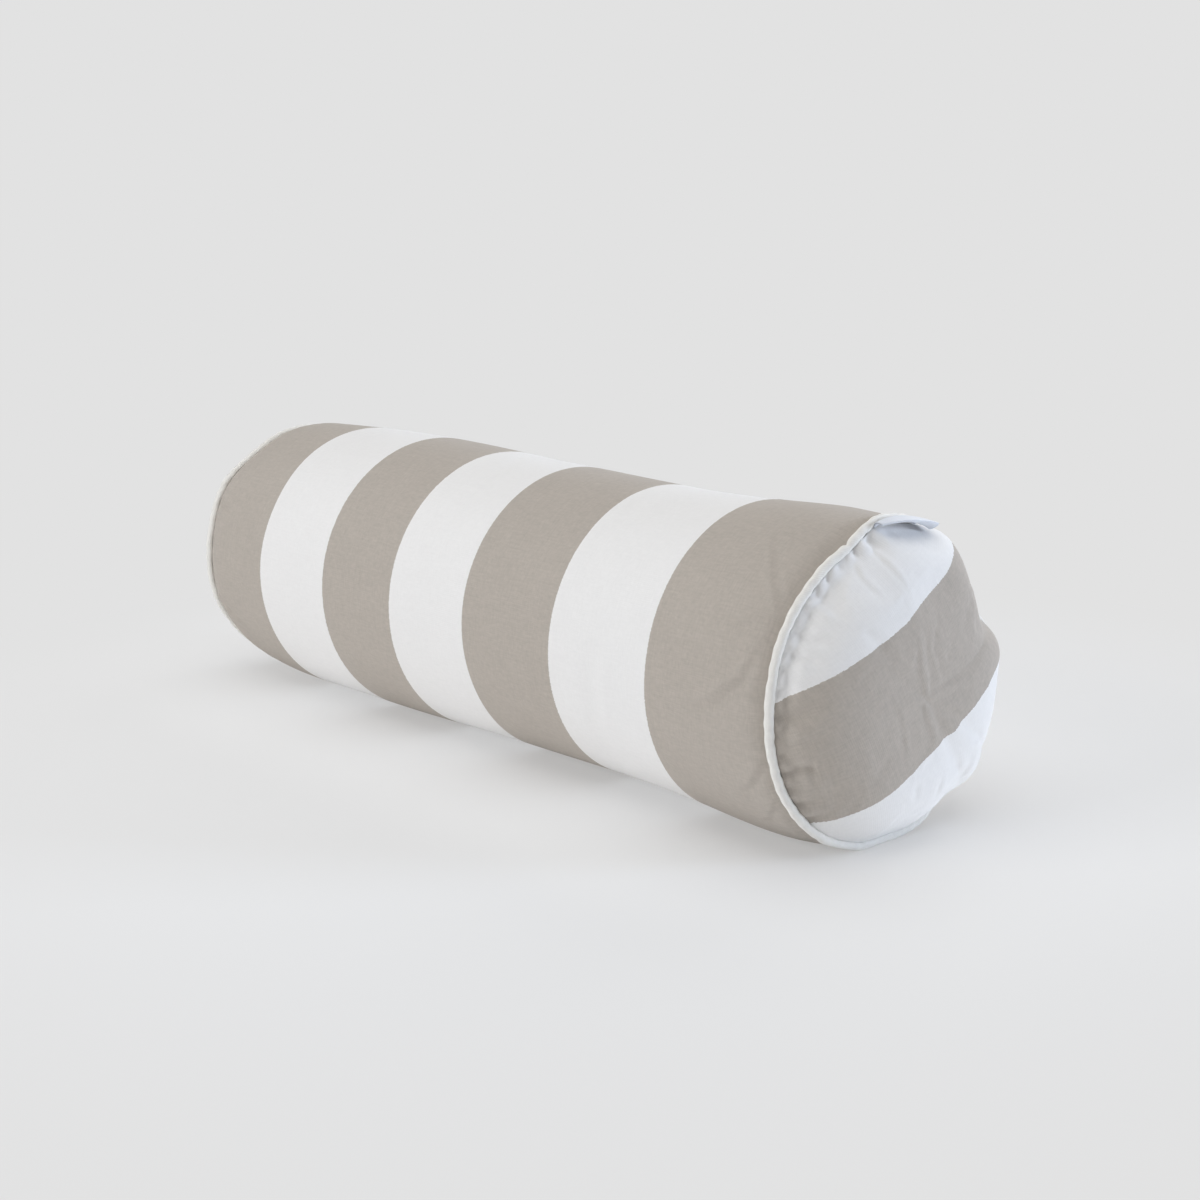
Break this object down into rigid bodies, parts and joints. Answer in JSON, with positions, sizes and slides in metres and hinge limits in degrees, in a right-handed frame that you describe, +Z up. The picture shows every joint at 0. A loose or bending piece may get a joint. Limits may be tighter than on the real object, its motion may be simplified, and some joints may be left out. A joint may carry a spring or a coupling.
{
  "type": "outdoor bolster pillow",
  "caption": "Round striped bolster pillow with crowned end panels, cord piping in both seams and a small blank label.",
  "frame": {"origin": "on the floor under the middle of the bolster's box", "axes": "+X along the roll towards the labelled end, +Z up, -Z is the way the flat spot faces"},
  "size_m": [0.679, 0.2063, 0.1997],
  "materials": {
    "striped_cloth": "matte plain-woven outdoor canvas in wide white and taupe stripes",
    "piping_cloth": "matte white bias cloth over a soft cord",
    "label_tape": "smooth white woven tape, blank"
  },
  "bodies": {
    "root": {"bolster": "striped_cloth", "end_panel_near": "striped_cloth", "end_panel_far": "striped_cloth", "piping_near": "piping_cloth", "piping_far": "piping_cloth", "label": "label_tape"}
  },
  "joints": []
}
